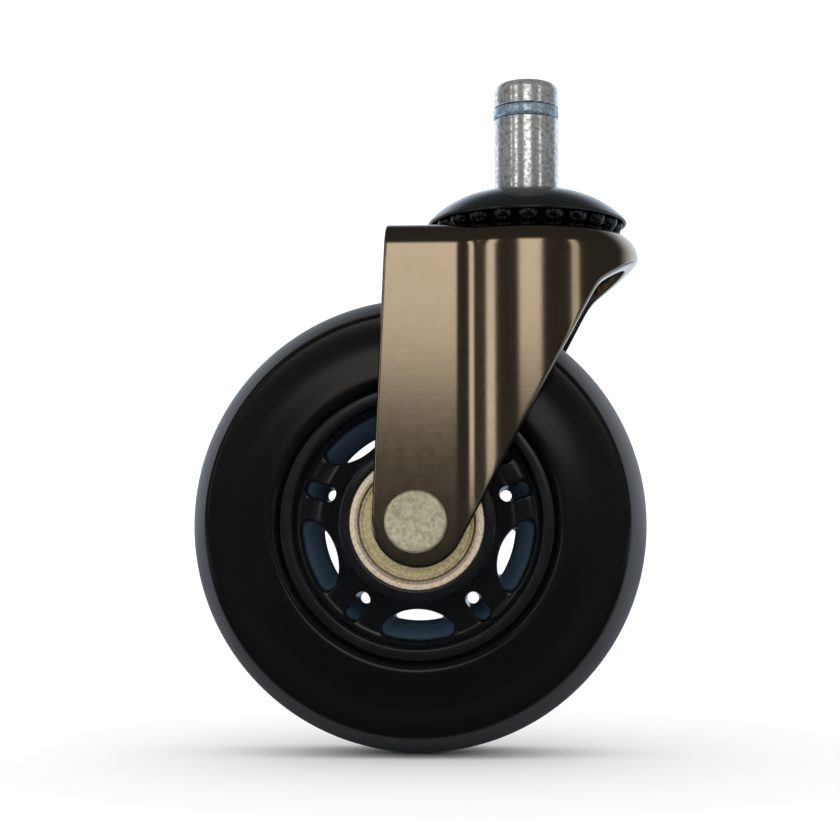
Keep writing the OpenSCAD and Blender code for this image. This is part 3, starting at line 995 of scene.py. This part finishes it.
def drill_axle_hole(obj):
    """Cuts the rivet's hole through both legs."""
    n = 64
    turns = [2 * math.pi * k / n for k in range(n)]
    verts = [[c * MM for c in about_axle(RIVET_HOLE_R, t, h)] for h in (LEG_Y + 2, -LEG_Y - 2) for t in turns]
    faces = [(k, (k + 1) % n, n + (k + 1) % n, n + k) for k in range(n)]
    faces += [tuple(reversed(range(n))), tuple(range(n, 2 * n))]
    mesh = bpy.data.meshes.new("drill")
    mesh.from_pydata(verts, [], faces)
    drill = bpy.data.objects.new("drill", mesh)
    bpy.context.scene.collection.objects.link(drill)
    mod = obj.modifiers.new("axle_hole", "BOOLEAN")
    mod.operation, mod.solver, mod.object = "DIFFERENCE", "EXACT", drill
    bpy.context.view_layer.update()
    cut = bpy.data.meshes.new_from_object(obj.evaluated_get(bpy.context.evaluated_depsgraph_get()))
    obj.modifiers.remove(mod)
    obj.data = cut
    cut.shade_smooth()
    bpy.data.objects.remove(drill)


# ---------------------------------------------------------------- CAD pieces that stay


def finish_cad(node, mat, bevel_mm=0.0):
    """Keeps a CAD node, with smooth shading, a small edge rounding and its material."""
    obj = frame["nodes"][node]
    obj.data.shade_smooth()
    obj.data.set_sharp_from_angle(angle=math.radians(35))
    if bevel_mm:
        mod = obj.modifiers.new("edge", "BEVEL")
        mod.width = bevel_mm * MM
        mod.segments = 3
        mod.limit_method = "ANGLE"
        mod.angle_limit = math.radians(50)
    paint(obj, mat)


# ---------------------------------------------------------------- studio


# lengths in metres from here on; azimuths in degrees from the view's direction, positive to the left
ROOM_LEVEL = 1.2
STRIP_DISTANCE = 1.0
STRIP_FOOT = -0.01
FLOOR_HALF = 6.0

# what the gloss sees of the room: ranges of a direction's part along an axis, and levels
FRONT_LEVEL = 0.045
SIDE_FADE, SIDE_LEVEL = (0.3, 0.8), 1.1
TOP_FADE, TOP_SHARE = (0.8, 0.4), 0.07
PANEL_RISE, PANEL_FALL, PANEL_LEVEL = (0.08, 0.128), (0.62, 0.42), 1.25
PANEL_LEFT, PANEL_RIGHT, PANEL_FRONT = (-0.19, -0.12), (0.27, 0.20), (-0.4, -0.6)
FRONT_TINT, BACK_TINT, TINT_FADE = (1.0, 0.96, 0.89), (0.78, 0.89, 1.0), (-0.2, 0.5)


def strip_light(name, azimuth, top, width, radiance, colour):
    """Upright strip light that faces the stem, as bright as its radiance."""
    a = math.radians(azimuth)
    target = Vector((-0.004, 0, (STRIP_FOOT + top) / 2))
    data = bpy.data.lights.new(name, "AREA")
    data.shape = "RECTANGLE"
    data.size, data.size_y = width, top - STRIP_FOOT
    data.energy = radiance * math.pi * data.size * data.size_y
    data.color = colour
    obj = bpy.data.objects.new(name, data)
    obj.location = target - STRIP_DISTANCE * Vector((math.sin(a), math.cos(a), 0))
    obj.rotation_euler = (target - obj.location).to_track_quat("-Z", "Y").to_euler()
    bpy.context.scene.collection.objects.link(obj)


def build_floor():
    mesh = bpy.data.meshes.new("floor")
    corners = [(-1, -1), (1, -1), (1, 1), (-1, 1)]
    mesh.from_pydata([(x * FLOOR_HALF, y * FLOOR_HALF, FLOOR_Z * MM) for x, y in corners], [], [(0, 1, 2, 3)])
    obj = bpy.data.objects.new("floor", mesh)
    bpy.context.scene.collection.objects.link(obj)
    paint(obj, floor_material())


def build_world():
    """White to the camera and as the room's light; the gloss sees it dark in front and pale elsewhere."""
    world = bpy.data.worlds.new("studio")
    bpy.context.scene.world = world
    world.use_nodes = True
    world.cycles.sampling_method = "NONE"
    tree = world.node_tree
    nodes, links = tree.nodes, tree.links
    nodes.clear()
    way = split_coordinates(tree, "Generated")
    top = maths(tree, "ADD", product(tree, mapped(tree, way["Z"], *TOP_FADE), 1 - TOP_SHARE), TOP_SHARE)
    sides = product(tree, mapped(tree, way["Y"], *SIDE_FADE), SIDE_LEVEL, top)
    panel = product(tree, mapped(tree, way["Z"], *PANEL_RISE), mapped(tree, way["Z"], *PANEL_FALL),
                    mapped(tree, way["X"], *PANEL_LEFT), mapped(tree, way["X"], *PANEL_RIGHT),
                    mapped(tree, way["Y"], *PANEL_FRONT), PANEL_LEVEL)
    level = maths(tree, "ADD", maths(tree, "ADD", sides, panel), FRONT_LEVEL)
    tint = nodes.new("ShaderNodeMix")
    tint.data_type = "RGBA"
    tint.inputs["A"].default_value = (*FRONT_TINT, 1)
    tint.inputs["B"].default_value = (*BACK_TINT, 1)
    links.new(mapped(tree, way["Y"], *TINT_FADE), tint.inputs["Factor"])
    gloss = nodes.new("ShaderNodeBackground")
    links.new(tint.outputs["Result"], gloss.inputs["Color"])
    links.new(level, gloss.inputs["Strength"])
    plain = nodes.new("ShaderNodeBackground")
    plain.inputs["Color"].default_value = (1, 1, 1, 1)
    plain.inputs["Strength"].default_value = ROOM_LEVEL
    mix = nodes.new("ShaderNodeMixShader")
    links.new(nodes.new("ShaderNodeLightPath").outputs["Is Glossy Ray"], mix.inputs["Fac"])
    links.new(plain.outputs["Background"], mix.inputs[1])
    links.new(gloss.outputs["Background"], mix.inputs[2])
    links.new(mix.outputs["Shader"], nodes.new("ShaderNodeOutputWorld").inputs["Surface"])


def build_lights():
    strip_light("left_strip", 38, 0.6, 0.16, 1.25, (1.0, 0.96, 0.90))
    strip_light("far_left_strip", 56, 0.6, 0.05, 1.2, (1.0, 0.96, 0.90))
    strip_light("right_strip", -49, 0.55, 0.14, 0.85, (1.0, 0.97, 0.84))


def build_camera():
    """A little below the axle's height and towards the fork's front, turned to the middle of the part."""
    data = bpy.data.cameras.new("view")
    data.lens = 76
    data.clip_start, data.clip_end = 0.01, 20
    cam = bpy.data.objects.new("view", data)
    cam.location = (-0.0046, -0.300, -0.0634)
    lo, hi = CAD_BOX
    target = Vector(((lo.x + hi.x) / 2, 0, (lo.z + hi.z) / 2 - 0.001))
    cam.rotation_euler = (target - cam.location).to_track_quat("-Z", "Y").to_euler()
    bpy.context.scene.collection.objects.link(cam)
    bpy.context.scene.camera = cam


# ---------------------------------------------------------------- assembly

build_stem()
build_grip_ring()
build_cap()
build_rivet()
build_bearing("near", 1)
build_bearing("far", -1)
build_tyre()
build_hub()
build_fork()

for ball_node in ("upper_swivel_balls", "lower_swivel_balls"):
    finish_cad(ball_node, SWIVEL_BALL_MAT)
for ball_node in ("near_bearing_balls", "far_bearing_balls"):
    finish_cad(ball_node, BALL_MAT)
for side_name in ("near", "far"):
    finish_cad(f"{side_name}_ball_cage", CAGE_MAT)
    finish_cad(f"{side_name}_inner_ring", INNER_RACE_MAT, 0.1)
    finish_cad(f"{side_name}_axle_washer", WASHER_MAT, 0.15)
finish_cad("bearing_spacer", WASHER_MAT, 0.15)
finish_cad("lower_race", RACE_MAT, 0.15)

build_floor()
build_world()
build_lights()
build_camera()

bpy.context.scene.view_settings.view_transform = "Standard"
